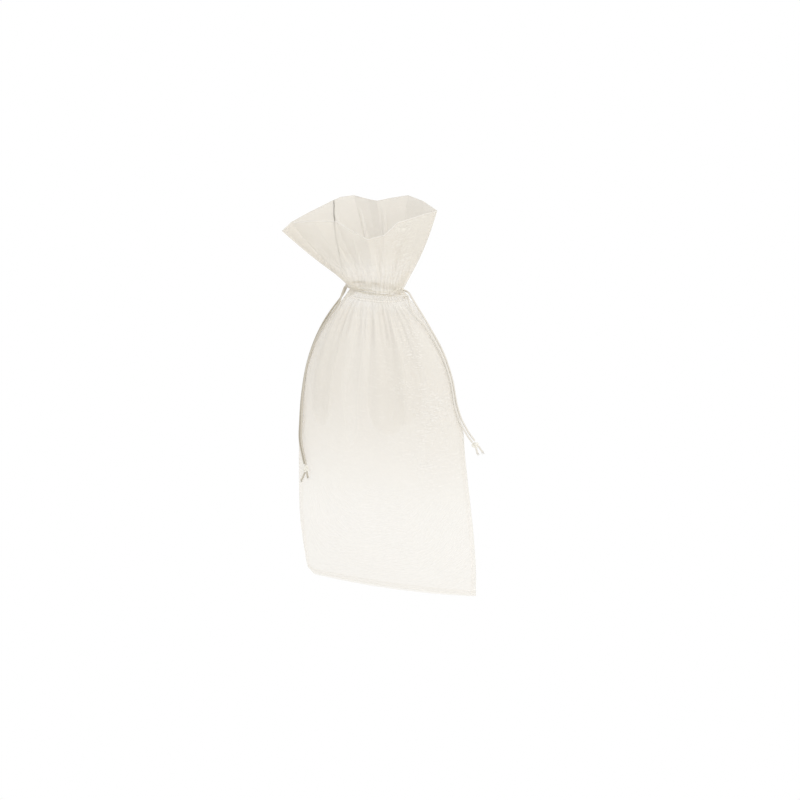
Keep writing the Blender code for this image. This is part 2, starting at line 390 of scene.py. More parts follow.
def ranged(tree: Tree, value: Socket, low: float, high: float,
           start: float = 0.0) -> Socket:
    """A value that runs from start to 1, spread between two numbers."""
    feeds = {"Value": value, "From Min": start, "To Min": low, "To Max": high}
    return add_node(tree, "MapRange", feeds).outputs["Result"]


def mixed(tree: Tree, share: Socket, low: object, high: tuple) -> Socket:
    """A colour between two, by a share. The first may be another node's."""
    low = low if isinstance(low, Socket) else (*low, 1.0)
    feeds = {"Factor": share, "A": low, "B": (*high, 1.0)}
    return add_node(tree, "Mix", feeds, data_type="RGBA").outputs["Result"]


def bumped(tree: Tree, height: Socket, strength: float, distance: float,
           **more: Socket) -> Socket:
    """A normal bent by a height."""
    feeds = {"Height": height, "Strength": strength, "Distance": distance, **more}
    return add_node(tree, "Bump", feeds).outputs[0]


def new_group(name: str, inputs: dict[str, tuple[str, object]], outputs: tuple[str, ...]) -> tuple:
    """A shader node group, the sockets that bring its inputs and those that take its outputs.

    Args:
        name: the group's name.
        inputs: the kind and default of each input.
        outputs: names of its numbers.
    Returns:
        The node tree, the sockets of its inputs and the sockets of its outputs.
    """
    tree = bpy.data.node_groups.new(name, "ShaderNodeTree")
    for label, (kind, value) in inputs.items():
        socket = tree.interface.new_socket(label, in_out="INPUT", socket_type="NodeSocket" + kind)
        if value is not None:
            socket.default_value = value
    for label in outputs:
        tree.interface.new_socket(label, in_out="OUTPUT", socket_type="NodeSocketFloat")
    return tree, tree.nodes.new("NodeGroupInput").outputs, tree.nodes.new("NodeGroupOutput").inputs


@cache
def weave_group() -> Tree:
    """Plain weave of fine threads.

    Formula: each thread system is 0.5 + 0.5 sin(2 pi x / pitch), the cover is the larger of the two, and
    slubs thicken or thin the threads by a fine noise.

    Returns:
        The group: Cloth, Pitch and Slubs give Cover, Height and Patch.
    """
    tree, source, sink = new_group(
        "plain_weave",
        {"Cloth": ("Vector", None), "Pitch": ("Float", 0.0003), "Slubs": ("Float", 0.3)},
        ("Cover", "Height", "Patch"),
    )
    cloth = source["Cloth"]
    across = add_node(tree, "SeparateXYZ", {0: cloth}).outputs
    per_metre = calc(tree, "DIVIDE", TURN, source["Pitch"])
    waves = [wave(tree, calc(tree, "MULTIPLY", across[axis], per_metre)) for axis in "XY"]
    threads = calc(tree, "MAXIMUM", *waves)
    centred = calc(tree, "SUBTRACT", noise(tree, cloth, 900.0, Detail=2.0), 0.5)
    slubs = calc(tree, "MULTIPLY", centred, source["Slubs"])
    feed(tree, sink["Cover"], calc(tree, "ADD", threads, slubs, clamp=True))
    feed(tree, sink["Height"], threads)
    feed(tree, sink["Patch"], noise(tree, cloth, 22.0, Detail=3.0))
    return tree


@cache
def crease_group() -> Tree:
    """Fine pressed creases.

    Formula: a noise stretched along a slant, cut so that only its tops stay as short ridges, and faded in and
    out by a slow noise. Each cut is (noise - floor) * gain, held between 0 and 1.

    Returns:
        The group: Cloth and Cells give Height.
    """
    inputs = {"Cloth": ("Vector", None), "Cells": ("Float", 460.0)}
    tree, source, sink = new_group("fine_creases", inputs, ("Height",))
    cloth = source["Cloth"]
    slanted = {"Vector": cloth, "Rotation": (0.0, 0.0, -0.55), "Scale": (0.38, 1.0, 1.0)}
    turned = add_node(tree, "Mapping", slanted).outputs[0]
    streaks = noise(tree, turned, source["Cells"], Detail=2.0, Distortion=1.1)
    cuts = [
        calc(tree, "MULTIPLY", calc(tree, "SUBTRACT", value, floor), gain, clamp=True)
        for value, floor, gain in ((streaks, 0.53, 9.0), (noise(tree, cloth, 30.0), 0.36, 4.0))
    ]
    feed(tree, sink["Height"], calc(tree, "MULTIPLY", *cuts))
    return tree


def new_material(name: str) -> tuple[Material, Tree]:
    """A new material and its nodes."""
    made = bpy.data.materials.new(name)
    made.use_nodes = True
    return made, made.node_tree


def dress(tree: Tree, feeds: dict[str, object]) -> None:
    """Feeds a material's Principled shader.

    Args:
        tree: the material's nodes.
        feeds: a value or socket for each of the shader's inputs.
    """
    for label, value in feeds.items():
        feed(tree, tree.nodes["Principled BSDF"].inputs[label], value)


# ---------------------------------------------------------------- finishes


@dataclass(frozen=True)
class OrganzaFinish:
    """Sheer woven organza: fine open threads, a soft sheen and pressed creases with a painted highlight.

    Args:
        name: the material's name.
        pale, warm: its colours where it is lightest and where it is warmest.
        open_alpha, thread_alpha: opacity between the threads and on them.
        deep: its colour where it is densely gathered, darker as painted shade between the unseen fine pleats.
        bright: the colour of the painted highlight on the creases.
        crease: height of the fine creases, in metres.
        crease_highlight_weight: how far the painted highlight lightens the creases.
        crease_cover: how much of the gaps a lit crease closes.
        gather_shade, close: how far dense gathers take the deep colour, as painted shade, and how much of the
            gaps they close.
        pitch: distance between threads, in metres.
        sheen: weight of its sheen.
    """

    name: str
    pale: tuple[float, float, float]
    warm: tuple[float, float, float]
    open_alpha: float
    thread_alpha: float
    # darker colour of dense gathers: painted shade between fine pleats
    deep: tuple[float, float, float] = (0.77, 0.73, 0.66)
    bright: tuple[float, float, float] = (0.97, 0.96, 0.93)
    crease: float = 0.00035
    crease_highlight_weight: float = 0.42
    crease_cover: float = 0.3
    gather_shade: float = 0.8
    close: float = 0.75
    pitch: float = 0.00042
    sheen: float = 0.25

    @cache
    def material(self) -> Material:
        """Builds the material once.

        Formula: alpha = 1 - (1 - weave's alpha) * (1 - close * gathered) + crease_cover * lit.

        Returns:
            The material, which every piece with this finish shares.
        """
        made, tree = new_material(self.name)
        cloth = add_node(tree, "UVMap", uv_map="cloth").outputs[0]
        weave = add_node(tree, "Group", {"Cloth": cloth, "Pitch": self.pitch}, node_tree=weave_group()).outputs
        creases = add_node(tree, "Group", {"Cloth": cloth}, node_tree=crease_group()).outputs["Height"]
        gathered, crinkle = (
            add_node(tree, "Attribute", attribute_name=name).outputs["Fac"] for name in ("gathered", "crinkle")
        )
        shown = calc(tree, "MULTIPLY", creases, crinkle)
        # Painted highlight: where the creases show, the colour is lightened towards the bright colour.
        lit = calc(tree, "MULTIPLY", shown, self.crease_highlight_weight)
        plain = mixed(tree, weave["Patch"], self.pale, self.warm)
        # Painted shade: gathered cloth is darkened towards the deep colour.
        dense = mixed(tree, calc(tree, "MULTIPLY", gathered, self.gather_shade), plain, self.deep)
        gaps = calc(tree, "SUBTRACT", 1.0, ranged(tree, weave["Cover"], self.open_alpha, self.thread_alpha))
        kept = calc(tree, "SUBTRACT", 1.0, calc(tree, "MULTIPLY", gathered, self.close))
        left = calc(tree, "MULTIPLY", gaps, kept)
        clear = calc(tree, "SUBTRACT", left, calc(tree, "MULTIPLY", lit, self.crease_cover))
        pressed = bumped(tree, shown, 0.6, self.crease)
        dress(tree, {
            "Base Color": mixed(tree, lit, dense, self.bright),
            "Alpha": calc(tree, "SUBTRACT", 1.0, clear, clamp=True),
            "Roughness": ranged(tree, weave["Cover"], 0.62, 0.42),
            "Normal": bumped(tree, weave["Height"], 0.12, 0.00005, Normal=pressed),
            "Sheen Weight": self.sheen,
            "Sheen Roughness": 0.4,
            "Specular IOR Level": 0.35,
        })
        return made


@dataclass(frozen=True)
class CordFinish:
    """Satin cord or sewing thread: fine spun fibres that run round it."""

    name: str
    pale: tuple[float, float, float]
    deep: tuple[float, float, float]
    roughness: float
    strands_per_metre: float
    sheen: float = 0.3
    fibres_round: int = 6

    @cache
    def material(self) -> Material:
        """Builds the material once.

        Formula: the spun pattern is 0.5 + 0.5 sin(2 pi (round * fibres_round + along * strands_per_metre)).

        Returns:
            The material, which every piece with this finish shares.
        """
        made, tree = new_material(self.name)
        place = add_node(tree, "UVMap", uv_map="cloth").outputs[0]
        split = add_node(tree, "SeparateXYZ", {0: place}).outputs
        along = calc(tree, "MULTIPLY", split["X"], TURN * self.strands_per_metre)
        around = calc(tree, "MULTIPLY", split["Y"], TURN * self.fibres_round)
        spun = wave(tree, calc(tree, "ADD", along, around))
        wear = noise(tree, place, 160.0)
        dress(tree, {
            "Base Color": mixed(tree, calc(tree, "MULTIPLY", spun, wear, clamp=True), self.deep, self.pale),
            "Roughness": ranged(tree, wear, self.roughness - 0.08, self.roughness + 0.12),
            "Normal": bumped(tree, spun, 0.35, 0.00008),
            "Sheen Weight": self.sheen,
        })
        return made


PANEL_FINISH = OrganzaFinish("organza_panel", (0.905, 0.862, 0.778), (0.89, 0.836, 0.745), 0.20, 0.31)
FACING_FINISH = OrganzaFinish("organza_facing", (0.93, 0.895, 0.83), (0.91, 0.87, 0.795), 0.19, 0.30)
SEAM_FINISH = OrganzaFinish("organza_seam", (0.95, 0.92, 0.86), (0.94, 0.90, 0.83), 0.10, 0.20)
# Whiter than the cloth itself: painted highlight along the folded rim.
RIM_FOLD_HIGHLIGHT_FINISH = OrganzaFinish("organza_fold", (0.98, 0.97, 0.93), (0.97, 0.95, 0.90), 0.35, 0.60)
# Darker copies of the satin cord: painted shade on the left cord, which lies on the shaded side.
CORD_PAINTED_SHADE_FINISH = CordFinish("cord_satin_deep", (0.72, 0.68, 0.58), (0.49, 0.44, 0.35), 0.38, 900.0)
CORD_PAINTED_HALF_SHADE_FINISH = CordFinish("cord_satin_middle", (0.78, 0.74, 0.65), (0.56, 0.51, 0.42), 0.38, 900.0)
CORD_FINISH = CordFinish("cord_satin", (0.92, 0.89, 0.82), (0.74, 0.70, 0.63), 0.38, 900.0)
# A paler copy of the satin cord: painted highlight on the knot. The loop inside the channel uses it too.
PALE_CORD_HIGHLIGHT_FINISH = CordFinish("cord_knot", (0.98, 0.96, 0.89), (0.84, 0.81, 0.73), 0.32, 900.0)
THREAD_FINISH = CordFinish("sewing_thread", (0.98, 0.96, 0.91), (0.95, 0.92, 0.86), 0.55, 1600.0)
# Dark grey: painted shadow along a sharp crease in the lining.
CREASE_SHADOW_FINISH = CordFinish("pressed_crease", (0.34, 0.32, 0.28), (0.24, 0.23, 0.20), 0.7, 900.0, 0.0)


def settle(made: Piece, finish: OrganzaFinish | CordFinish, slot: str, *nodes: str,
           body: str | None = "pouch") -> Piece:
    """Gives a piece its finish, the body that it rides on and the CAD nodes that it replaces.

    Args:
        made: the piece.
        finish: its finish.
        slot: the record's material slot; not used.
        nodes: the CAD nodes that it replaces.
        body: the body that it rides on, or None if it is blended.
    Returns:
        The same piece.
    """
    made.data.materials.append(finish.material())
    if body:
        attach(made, body)
    if nodes:
        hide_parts(*nodes)
    return made


# ---------------------------------------------------------------- shape of the pouch


@dataclass
class Envelope:
    """The smooth outline that the gathered cloth hangs on: a front and a back curve for each level.

    Every curve runs from the pouch's left side seam to its right one. Each station is level, half-width,
    half-depth, squareness, shift along X and bow. The bow is how far the middle stands forward of the sides.
    The neck's and rim's outlines are lists of their own points.
    """

    stations: Array = field(default_factory=lambda: np.array((
        (-0.2840, 0.0764, 0.0012, 2.0, 0.0109, 0.0058),
        (-0.2620, 0.0776, 0.0050, 2.0, 0.0094, 0.0052),
        (-0.2290, 0.0780, 0.0090, 2.0, 0.0068, 0.0038),
        (-0.1820, 0.0752, 0.0138, 2.0, 0.0042, 0.0015),
        (-0.1430, 0.0720, 0.0172, 2.0, 0.0028, 0.0000),
        (-0.1200, 0.0693, 0.0190, 2.0, 0.0034, 0.0000),
        (-0.1000, 0.0655, 0.0200, 2.0, 0.0015, 0.0000),
        (-0.0730, 0.0602, 0.0200, 2.1, 0.0010, 0.0000),
        (-0.0470, 0.0508, 0.0180, 2.3, 0.0009, 0.0000),
        (-0.0230, 0.0366, 0.0145, 2.6, 0.0000, 0.0000),
        (-0.0100, 0.0274, 0.0116, 2.8, 0.0000, 0.0000),
        (0.0000, 0.0205, 0.0100, 3.0, 0.0000, 0.0000),
    )))
    necks: dict = field(default_factory=lambda: {
        Side.FRONT: ((-20.5, 0, 0), (-18.5, -6.5, 0), (-11, -9.6, 0), (1, -10.4, 0), (10.5, -9.2, 0),
                     (16, -5.4, 0), (20.5, 0, 0)),
        Side.BACK: ((-20.5, 0, 0), (-17.5, 7.2, 0), (-7, 10, 0), (8, 10, 0), (18, 6.8, 0), (20.5, 0, 0)),
    })
    rims: dict = field(default_factory=lambda: {
        Side.FRONT: ((-73.4, -15.2, 48.7), (-67.5, -9.8, 54.0), (-44.0, -25.0, 64.0), (-24.0, -31.5, 68.0),
                     (-7.0, -42.0, 65.0), (5.5, -47.5, 62.0), (11.0, -44.5, 63.5), (17.0, -41.5, 64.5),
                     (19.0, -37.0, 66.0), (23.5, -26.0, 69.3), (29.5, -20.0, 69.8), (37.5, -8.5, 69.8),
                     (46.5, 10.0, 67.5)),
        Side.BACK: ((-73.4, -15.2, 48.7), (-68.5, -6.5, 53.2), (-57.0, 2.0, 59.0), (-39.0, 14.0, 67.0),
                    (-34.0, 17.0, 69.0), (-24.5, 22.0, 69.5), (-11.5, 20.0, 68.0), (-4.0, 17.0, 68.5),
                    (6.0, 19.0, 71.0), (20.0, 22.0, 73.5), (34.0, 15.0, 72.5), (46.5, 10.0, 67.5)),
    })
    swell: float = 0.10
    overhang: float = 0.0022

    def neck_curve(self, side: Side) -> Array:
        """The neck's outline at the channel."""
        return soft_curve(MM * np.array(self.necks[side]), NECK_SOFTNESS)

    def body_curve(self, level: float, side: Side) -> Array:
        """A level's curve below the channel: half a superellipse, shifted and bowed, that joins the neck.

        Args:
            level: its height.
            side: front or back.
        Returns:
            (SAMPLES + 1, 3) points.
        """
        half_width, half_depth, squareness, shift, bow = through(
            np.array([level]), self.stations[:, 0], self.stations[:, 1:])[0]
        t = np.linspace(0.0, math.pi, SAMPLES + 1)
        power = 2.0 / squareness
        x = -np.sign(np.cos(t)) * np.abs(np.cos(t)) ** power * half_width
        y = side.value * np.abs(np.sin(t)) ** power * half_depth
        y = y - bow * (1 - np.clip(np.abs(x) / half_width, 0, 1) ** 2)
        curve = evenly(np.column_stack((x + shift, y, np.full_like(x, level))), SAMPLES + 1)
        share = smoothstep(0.004, 0.026, -level)
        scale = np.array((half_width / NECK_HALF_WIDTH, half_depth / NECK_HALF_DEPTH, 0.0))
        neck = self.neck_curve(side) * scale + (0.0, 0.0, level)
        return neck * (1 - share) + curve * share

    def ruffle_curve(self, level: float, side: Side) -> Array:
        """A level's curve above the channel: between the neck's and the rim's.

        Formula: neck + (rim - neck) * (t + swell * sin(pi t)). The swell is largest at the right. Just above
        the channel the front also stands out by overhang * sin, as a soft roll over the cords.

        Args:
            level: its height.
            side: front or back.
        Returns:
            (SAMPLES + 1, 3) points.
        """
        t = level / RIM_LEVEL
        neck = self.neck_curve(side)
        rim = soft_curve(MM * np.array(self.rims[side]), RIM_SOFTNESS)
        rightness = smoothstep(0.010, 0.045, rim[:, 0])[:, None]
        leftness = smoothstep(0.020, 0.060, -rim[:, 0])[:, None]
        outward = t + (self.swell * rightness + 0.035 * leftness) * math.sin(math.pi * t)
        curve = neck + (rim - neck) * outward
        roll = math.sin(math.pi * min(1.0, level / 0.018))
        across = np.linspace(0.0, 1.0, SAMPLES + 1)
        curve[:, 1] += side.value * self.overhang * roll * np.sin(math.pi * across)
        curve[:, 2] = t * rim[:, 2]
        return curve

    def curves(self, levels: Array, side: Side) -> Array:
        """The curve of each level, as (levels, samples, 3)."""
        return np.stack([
            self.ruffle_curve(level, side) if level > 0 else self.body_curve(level, side) for level in levels
        ])


def box_blur(values: Array, reach: int) -> Array:
    """A moving average along the last axis, twice, with the edges repeated.

    Args:
        values: any array.
        reach: how many samples each way are averaged.
    Returns:
        An array of the same shape.
    """
    for _ in range(2):
        padded = np.pad(values, [(0, 0)] * (values.ndim - 1) + [(reach + 1, reach)], mode="edge")
        total = np.cumsum(padded, axis=-1)
        values = (total[..., 2 * reach + 1 :] - total[..., : -2 * reach - 1]) / (2 * reach + 1)
    return values


def level_normals(curves: Array, side: Side) -> Array:
    """The level directions that point out of the pouch, square to smoothed curves.

    Formula: the tangent, averaged over its neighbours, turned a quarter turn about Z.

    Args:
        curves: (levels, samples, 3) points.
        side: front or back.
    Returns:
        (levels, samples, 3) unit vectors.
    """
    tangent = box_blur(np.gradient(curves[..., :2], axis=1).transpose(0, 2, 1), 45).transpose(0, 2, 1)
    normal = np.stack((tangent[..., 1], -tangent[..., 0], np.zeros(tangent.shape[:2])), axis=-1)
    normal = normal / np.maximum(np.linalg.norm(normal, axis=-1, keepdims=True), 1e-9)
    return normal if side is Side.FRONT else -normal


@dataclass(frozen=True)
class Fold:
    """One fold that runs along the cloth from the channel.

    Args:
        at: its place across the cloth, 0 to 1.
        width: the cloth that it takes up, in metres.
        down, up: how far it reaches below and above the channel.
        sign: 1 for a ridge and -1 for a valley.
    """

    at: float
    width: float
    down: float
    up: float
    sign: float


@dataclass(frozen=True)
class Lobe:
    """A stretch below the channel where unseen fine pleats make the cloth denser, and darker by painted shade.

    Args:
        at: the middle of it across the cloth, 0 to 1.
        half: half its width, 0 to 1.
        down: how far below the channel its rounded end lies.
        weight: how dense it is.
        end: how long its rounded end is.
    """

    at: float
    half: float
    down: float
    weight: float
    end: float = 0.030


@dataclass
class Gathers:
    """How one panel's cloth is gathered: fine pleats on the cords, which merge into separate folds."""

    pleats: int
    folds: list[Fold]
    lobes: list[Lobe]
    crushed: list[tuple[float, float, float, float, float]]
    tight: float
    ruffle: float
    seed: int

    def density(self, across: Array, levels: Array) -> Array:
        """How much denser the cloth is with pleats too fine to see, 0 to 1. The finish closes gaps by it and
        darkens the colour by it as painted shade.

        Formula: an even share in the ruffle, another that fades down the body, and each lobe's weight inside
        a long shape with a rounded end, where sqrt((across / half)^2 + (distance past its start / end)^2) < 1.

        Args:
            across: places across the cloth, 0 to 1.
            levels: heights.
        Returns:
            (levels, across) shares.
        """
        u, z = across[None, :], levels[:, None]
        below = 0.50 * smoothstep(0.006, 0.030, -z) * (1 - smoothstep(0.085, 0.220, -z))
        total = below + self.ruffle * smoothstep(0.008, 0.030, z)
        for lobe in self.lobes:
            past = np.clip((-z - (lobe.down - lobe.end)) / lobe.end, 0.0, None)
            lean = lobe.at + 0.02 * np.sin(z / 0.04 + 5 * lobe.at)
            shape = np.sqrt(((u - lean) / lobe.half) ** 2 + past**2)
            total = total + lobe.weight * (1 - smoothstep(0.78, 1.04, shape)) * smoothstep(0.0, 0.03, -z)
        return np.clip(total, 0.0, 1.0)

    def shape(self, across: Array, levels: Array) -> Array:
        """Where the cloth turns, as the angle from its smooth curve for a strength of 1.

        Formula: on the cords the angle is sin(2 pi pleats u), with its phase shifted by slow sines. A fold's is
        one period of a sine over its width, so the cloth goes out and comes back, times
        sqrt(1 - (distance / reach)^2), so the fold closes in a rounded end.

        Args:
            across: places across the cloth, 0 to 1.
            levels: heights.
        Returns:
            (levels, across) angles.
        """
        shift = np.random.default_rng(self.seed).uniform(0, TURN, 4)
        u, z = across[None, :], levels[:, None]
        away = np.abs(z)
        drift = 0.9 * np.sin(TURN * 1.4 * u + shift[0]) + 0.5 * np.sin(TURN * 3.3 * u + shift[1])
        on_cords = 1 - smoothstep(np.where(z > 0, 0.010, 0.004), np.where(z > 0, 0.036, 0.014), away)
        total = on_cords * np.sin(TURN * self.pleats * u + 2.4 * drift + shift[2])
        for fold in self.folds:
            left = np.clip(1 - (away / np.where(z < 0, fold.down, fold.up)) ** 2, 0.0, 1.0)
            width = fold.width / CLOTH_WIDTH * (0.55 + 0.45 * left) * (1 + 1.3 * smoothstep(0.015, 0.075, -z))
            sway = 0.0015 * np.sin(z / 0.031 + 9 * fold.at)
            place = (u - fold.at - sway) / width
            bend = fold.sign * np.sin(TURN * place) * (np.abs(place) < 0.5)
            total = total + (1 - on_cords) * np.sqrt(left) * bend
        pinned = smoothstep(0.0, 0.03, u) * smoothstep(0.0, 0.03, 1 - u)
        return total * pinned

    def steepest(self, levels: Array) -> Array:
        """The steepest that a fold may turn at each level, in radians. It is softer away from the cords.

        Args:
            levels: heights.
        Returns:
            One angle for each level.
        """
        places = (-0.30, -0.090, -0.045, -0.012, 0.0, 0.012, 0.035, 0.070)
        return self.tight * np.interp(levels, places, (0.14, 0.17, 0.30, 0.85, 1.05, 1.05, 0.90, 0.70))

    def crinkle(self, across: Array, levels: Array) -> Array:
        """How strongly the fine creases show, as bumps and as a painted highlight, 0 to 1: exp(-(distance /
        reach)^2) round each crushed place.

        Args:
            across: places across the cloth, 0 to 1.
            levels: heights.
        Returns:
            (levels, across) shares.
        """
        u, z = across[None, :], levels[:, None]
        total = np.full(np.broadcast(u, z).shape, 0.16)
        for place, level, wide, tall, weight in self.crushed:
            total += weight * np.exp(-(((u - place) / wide) ** 2) - ((z - level) / tall) ** 2)
        return np.clip(total, 0.0, 1.0)


def gather(curves: Array, normal: Array, shape: Array, relief: Array, most: Array) -> Array:
    """Lays a full width of cloth along each level's shorter curve, by folding it.

    Formula: at cloth distance s the cloth runs at angle strength * shape(s) to the curve. So it advances by
    the sum of cos(angle) ds and stands out by the sum of sin(angle) ds. The strength that makes the advance
    equal the curve's length is found by bisection, up to `most`.

    Args:
        curves: (levels, samples, 3) smooth curves at equal steps.
        normal: their outward directions.
        shape: (levels, samples) angles for a strength of 1.
        relief: (levels, samples) small heights to add.
        most: (levels,) the largest strength, in radians.
    Returns:
        (levels, samples, 3) points, at equal steps of cloth.
    """
    step = CLOTH_WIDTH / SAMPLES
    length = np.linalg.norm(np.diff(curves[..., :2], axis=1), axis=-1).sum(axis=1)
    low, high = np.zeros(len(curves)), most.copy()
    for _ in range(24):
        middle = 0.5 * (low + high)
        advance = np.cos(middle[:, None] * shape).sum(axis=1) * step
        long = advance > length
        low, high = np.where(long, middle, low), np.where(long, high, middle)
    strength = box_blur(0.5 * (low + high)[None, :], 2)[0]
    angle = strength[:, None] * shape
    advance = np.cumsum(np.cos(angle), axis=1)
    advance = (advance - advance[:, :1]) / (advance[:, -1:] - advance[:, :1])
    out = np.cumsum(np.sin(angle), axis=1) * step
    across = np.linspace(0.0, 1.0, SAMPLES + 1)
    out = out - out[:, :1] - (out[:, -1:] - out[:, :1]) * across
    pinned = smoothstep(0.0, 0.04, across) * smoothstep(0.0, 0.04, 1 - across)
    out = out - 0.8 * pinned * box_blur(out, 60) + pinned * relief
    place = np.clip(advance, 0.0, 1.0) * SAMPLES
    k = np.minimum(place.astype(int), SAMPLES - 1)
    share = (place - k)[..., None]
    rows = np.arange(len(curves))[:, None]
    base = curves[rows, k] * (1 - share) + curves[rows, k + 1] * share
    away = normal[rows, k] * (1 - share) + normal[rows, k + 1] * share
    return base + out[..., None] * away


@dataclass
class Creases:
    """Light pressed creases in a panel: short ridges at random places, in cloth coordinates.

    Formula: each is height * exp(-|distance to its line| / width), faded towards its ends.
    """

    seed: int
    count: int
    centre: tuple[float, float]
    spread: tuple[float, float]
    height: float = 0.00035

    def field(self, across: Array, along: Array) -> Array:
        """Height at each point, from its place across and along the cloth in metres.

        Args:
            across, along: cloth coordinates, which broadcast together.
        Returns:
            Heights in metres.
        """
        rng = np.random.default_rng(self.seed)
        total = np.zeros(np.broadcast(across, along).shape)
        for _ in range(self.count):
            u0 = self.centre[0] + self.spread[0] * rng.uniform(-1, 1)
            v0 = self.centre[1] + self.spread[1] * rng.uniform(-1, 1)
            angle, reach = rng.uniform(0, math.pi), rng.uniform(0.006, 0.020)
            width, height = rng.uniform(0.0008, 0.0018), self.height * rng.uniform(-0.8, 1.0)
            c, s = math.cos(angle), math.sin(angle)
            forward, aside = (across - u0) * c + (along - v0) * s, (along - v0) * c - (across - u0) * s
            fade = 1 - smoothstep(0.4, 1.0, np.abs(forward) / reach)
            total += height * np.exp(-np.abs(aside) / width) * fade
        return total


@dataclass
class ClothPanel:
    """One panel of sheer cloth from the bottom seam to the rim, gathered at the channel, with its facing.

    Args:
        envelope: the outline that it hangs on.
        side: front or back.
        gathers: how it folds.
        creases: its pressed creases.
    """

    envelope: Envelope
    side: Side
    gathers: Gathers
    creases: list[Creases]

    def __post_init__(self) -> None:
        """Works out the panel's surface once, because the seams and stitches follow it."""
        self.levels = np.concatenate((
            np.linspace(BOTTOM_LEVEL, -0.075, 110, endpoint=False),
            np.linspace(-0.075, -0.016, 60, endpoint=False),
            np.linspace(-0.016, 0.016, 48, endpoint=False),
            np.linspace(0.016, RIM_LEVEL, 62),
        ))
        curves = self.envelope.curves(self.levels, self.side)
        normal = level_normals(curves, self.side)
        across = np.linspace(0.0, 1.0, SAMPLES + 1)
        u, v = across[None, :] * CLOTH_WIDTH, self.levels[:, None]
        crinkle = sum(crease.field(u, v) for crease in self.creases)
        slow = 0.0006 * np.sin(TURN * (u / 0.061 + v / 0.083) + self.gathers.seed)
        slow = slow * np.sin(TURN * (v / 0.117 - u / 0.19) + 1.3)
        quiet = smoothstep(0.02, 0.08, -v) * smoothstep(0.0, 0.02, v - BOTTOM_LEVEL)
        shape = self.gathers.shape(across, self.levels)
        folded = gather(curves, normal, shape, crinkle + slow * quiet, self.gathers.steepest(self.levels))
        self.surface = np.ascontiguousarray(folded[:, ::STEP])
        self.density = self.gathers.density(across[::STEP], self.levels)
        self.crinkle = self.gathers.crinkle(across[::STEP], self.levels)
        self.outward = normal[:, ::STEP]
        self.columns = self.surface.shape[1]
        self.tuck_corner()
        if self.side is Side.FRONT:
            self.roll_foot(0.69, 0.13, 0.0035)
        across_cloth, along_cloth = np.gradient(self.surface, axis=1), np.gradient(self.surface, axis=0)
        facing = np.cross(across_cloth, along_cloth) * (1.0 if self.side is Side.FRONT else -1.0)
        self.normal = facing / np.maximum(np.linalg.norm(facing, axis=-1, keepdims=True), 1e-12)

    def tuck_corner(self) -> None:
        """Rounds the bottom left corner, where the turned-in seams make a small fold.

        Formula: a point rises by lift * exp(-(distance from the left end / reach)^2), fading upwards.
        """
        left = self.surface[:, :1, 0]
        lift, reach, height = 0.0050, 0.0036, 0.012
        near = np.exp(-(((self.surface[..., 0] - left) / reach) ** 2))
        fade = 1 - smoothstep(0.0, height, self.levels - BOTTOM_LEVEL)
        self.surface[..., 2] += lift * near * fade[:, None]

    def roll_foot(self, at: float, half: float, drop: float) -> None:
        """Lets the ruffle's foot sag over the channel at one place, in a soft roll.

        Formula: a point moves out and down by drop * exp(-((u - at) / half)^2 - ((z - middle) / reach)^2).

        Args:
            at: the middle of the roll across the cloth, 0 to 1.
            half: half its width, 0 to 1.
            drop: how far it sags.
        """
        middle, reach = 0.0065, 0.005
        u = np.linspace(0.0, 1.0, self.columns)[None, :]
        sag = drop * np.exp(-(((u - at) / half) ** 2) - ((self.levels[:, None] - middle) / reach) ** 2)
        self.surface += sag[..., None] * self.outward
        self.surface[..., 2] -= sag

    def grid_uv(self, rows: Array) -> Array:
        """Cloth coordinates in metres: across the panel, and along it from the bottom."""
        middle = self.surface[:, self.columns // 2]
        along = lengths_along(middle)[rows]
        across = np.linspace(0.0, CLOTH_WIDTH, self.columns)
        return np.stack(np.broadcast_arrays(across[None, :], along[:, None]), axis=-1).reshape(-1, 2)

    def faces(self, rows: int) -> Array:
        """Quads that face out of the pouch."""
        quads = grid_faces(rows, self.columns)
        return quads if self.side is Side.FRONT else quads[:, ::-1]

    def name(self, part: str) -> str:
        """A piece's name, such as front_cloth."""
        return f"{self.side.name.lower()}_{part}"

    def build_layer(self, part: str, points: Array, rows: Array, finish: OrganzaFinish,
                    node: str) -> Piece:
        """One layer of the panel's cloth over some of its rows.

        Args:
            part: the last word of the piece's name.
            points: (rows, columns, 3) surface.
            rows: which of the panel's rows it covers.
            finish: its finish.
            node: the last word of the CAD node's name.
        Returns:
            The piece.
        """
        made = make_mesh(self.name(part), points.reshape(-1, 3), [self.faces(len(rows))], self.grid_uv(rows))
        set_values(made, gathered=self.density[rows], crinkle=self.crinkle[rows])
        settle(made, finish, "organza", self.name(node))
        return made

    def build_facing(self) -> Piece:
        """The cloth turned in at the rim. It lines the ruffle and passes inside the cords.

        Formula: the outer layer moved inwards by FACING_GAP along its own normal, and by CORD_ROOM more at
        the cords.
        """
        rows = np.flatnonzero(self.levels > -0.0075)
        levels = self.levels[rows][:, None, None]
        close = FACING_GAP * smoothstep(0.0, 0.004, RIM_LEVEL - levels)
        behind = CORD_ROOM * (1 - smoothstep(0.0030, 0.0110, np.abs(levels)))
        points = self.surface[rows] - close * self.normal[rows] - behind * self.outward[rows]
        return self.build_layer("lining", points, rows, FACING_FINISH, "facing")

    def row_at(self, level: float) -> int:
        """The row nearest a level."""
        return int(np.argmin(np.abs(self.levels - level)))

    def build_rim_fold(self) -> Piece:
        """The folded edge of the rim, where the cloth doubles back, near white as a painted highlight."""
        tube = tube_arrays(evenly(self.surface[-1], 400), RIM_FOLD_RADIUS, 6)
        return settle(make_mesh(self.name("rim_fold"), *tube), RIM_FOLD_HIGHLIGHT_FINISH, "organza")

